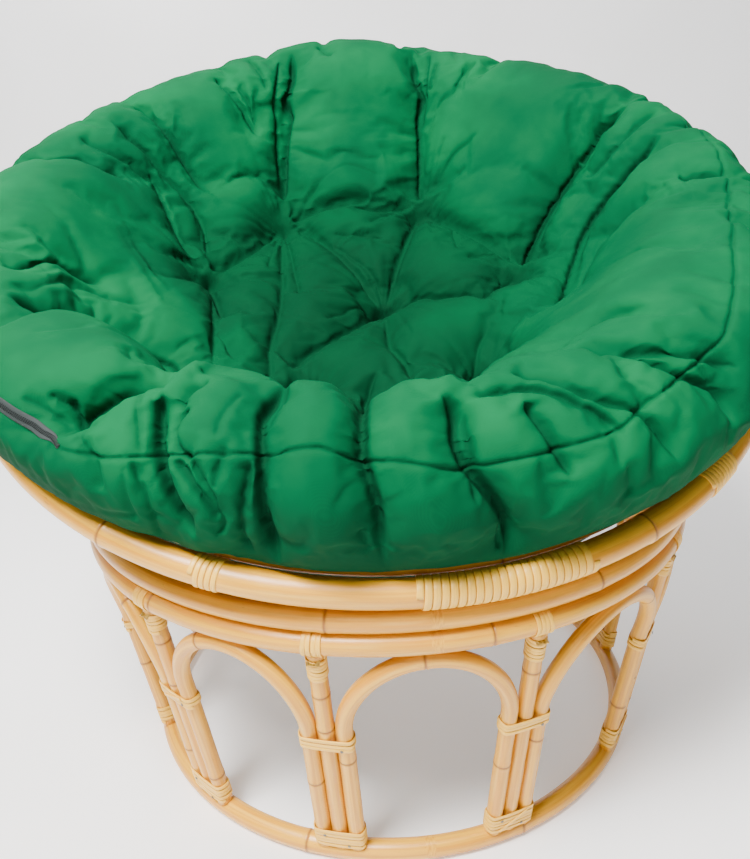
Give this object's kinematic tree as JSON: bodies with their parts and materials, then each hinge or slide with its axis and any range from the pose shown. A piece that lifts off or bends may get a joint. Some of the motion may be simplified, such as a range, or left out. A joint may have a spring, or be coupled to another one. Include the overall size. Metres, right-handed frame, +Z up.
{
  "type": "papasan chair",
  "caption": "Round papasan chair: a tilting cane bowl on a ring base of arched cane legs, with a thick tufted round cushion and a zip in its seam",
  "frame": {"origin": "centre of the overall box, on the floor under the chair", "axes": "+Z up; -Y towards the low front of the bowl; +X to the right seen from the front"},
  "size_m": [1.1188, 1.0328, 0.9761],
  "materials": {
    "cane": "satin lacquered rattan",
    "pale_cane": "satin lacquered rattan, lighter",
    "strand": "flat rattan peel, semi-matt",
    "cushion_cloth": "plain smooth woven cotton",
    "zip_tape": "woven tape with zip teeth",
    "zip_metal": "plated"
  },
  "bodies": {
    "base": {"ring_bottom": "cane", "ring_top_lower": "cane", "ring_top_upper": "cane", "post_01": "pale_cane", "arch_01": "cane", "mid_binding_01": "strand", "foot_binding_01": "strand", "post_02": "pale_cane", "arch_02": "cane", "mid_binding_02": "strand", "foot_binding_02": "strand", "post_03": "pale_cane", "arch_03": "cane", "mid_binding_03": "strand", "foot_binding_03": "strand", "post_04": "pale_cane", "arch_04": "cane", "mid_binding_04": "strand", "foot_binding_04": "strand", "post_05": "pale_cane", "arch_05": "cane", "mid_binding_05": "strand", "foot_binding_05": "strand", "post_06": "pale_cane", "arch_06": "cane", "mid_binding_06": "strand", "foot_binding_06": "strand", "post_07": "pale_cane", "arch_07": "cane", "mid_binding_07": "strand", "foot_binding_07": "strand", "post_08": "pale_cane", "arch_08": "cane", "mid_binding_08": "strand", "foot_binding_08": "strand", "post_09": "pale_cane", "arch_09": "cane", "mid_binding_09": "strand", "foot_binding_09": "strand", "post_10": "pale_cane", "arch_10": "cane", "mid_binding_10": "strand", "foot_binding_10": "strand"},
    "bowl": {"rim_outer": "cane", "rim_inner": "cane", "rim_splice_binding": "strand", "hoop_upper": "pale_cane", "hoop_lower": "pale_cane", "hub_ring": "pale_cane", "rib_1": "pale_cane", "rib_2": "pale_cane", "rib_3": "pale_cane", "rib_4": "pale_cane", "rib_5": "pale_cane", "rib_6": "pale_cane", "rib_7": "pale_cane", "rib_8": "pale_cane"},
    "cushion": {"cushion": "cushion_cloth", "zip_tape": "zip_tape"},
    "zip_slider": {"zip_slider": "zip_metal"}
  },
  "joints": [
    {"name": "bowl_tilt", "type": "hinge", "parent": "base", "child": "bowl", "pos_m": [0, -0.08031, 0.76374], "axis": [1, 0, 0], "range_deg": [-49, 0]},
    {"name": "cushion_lift", "type": "slide", "parent": "bowl", "child": "cushion", "axis": [0, -0.4158, 0.9095], "range_m": [0, 0.25]},
    {"name": "zip_slide", "type": "hinge", "parent": "cushion", "child": "zip_slider", "pos_m": [0, -0.0503, 0.77746], "axis": [0, -0.4313, 0.9022], "range_deg": [-28, 0]}
  ]
}
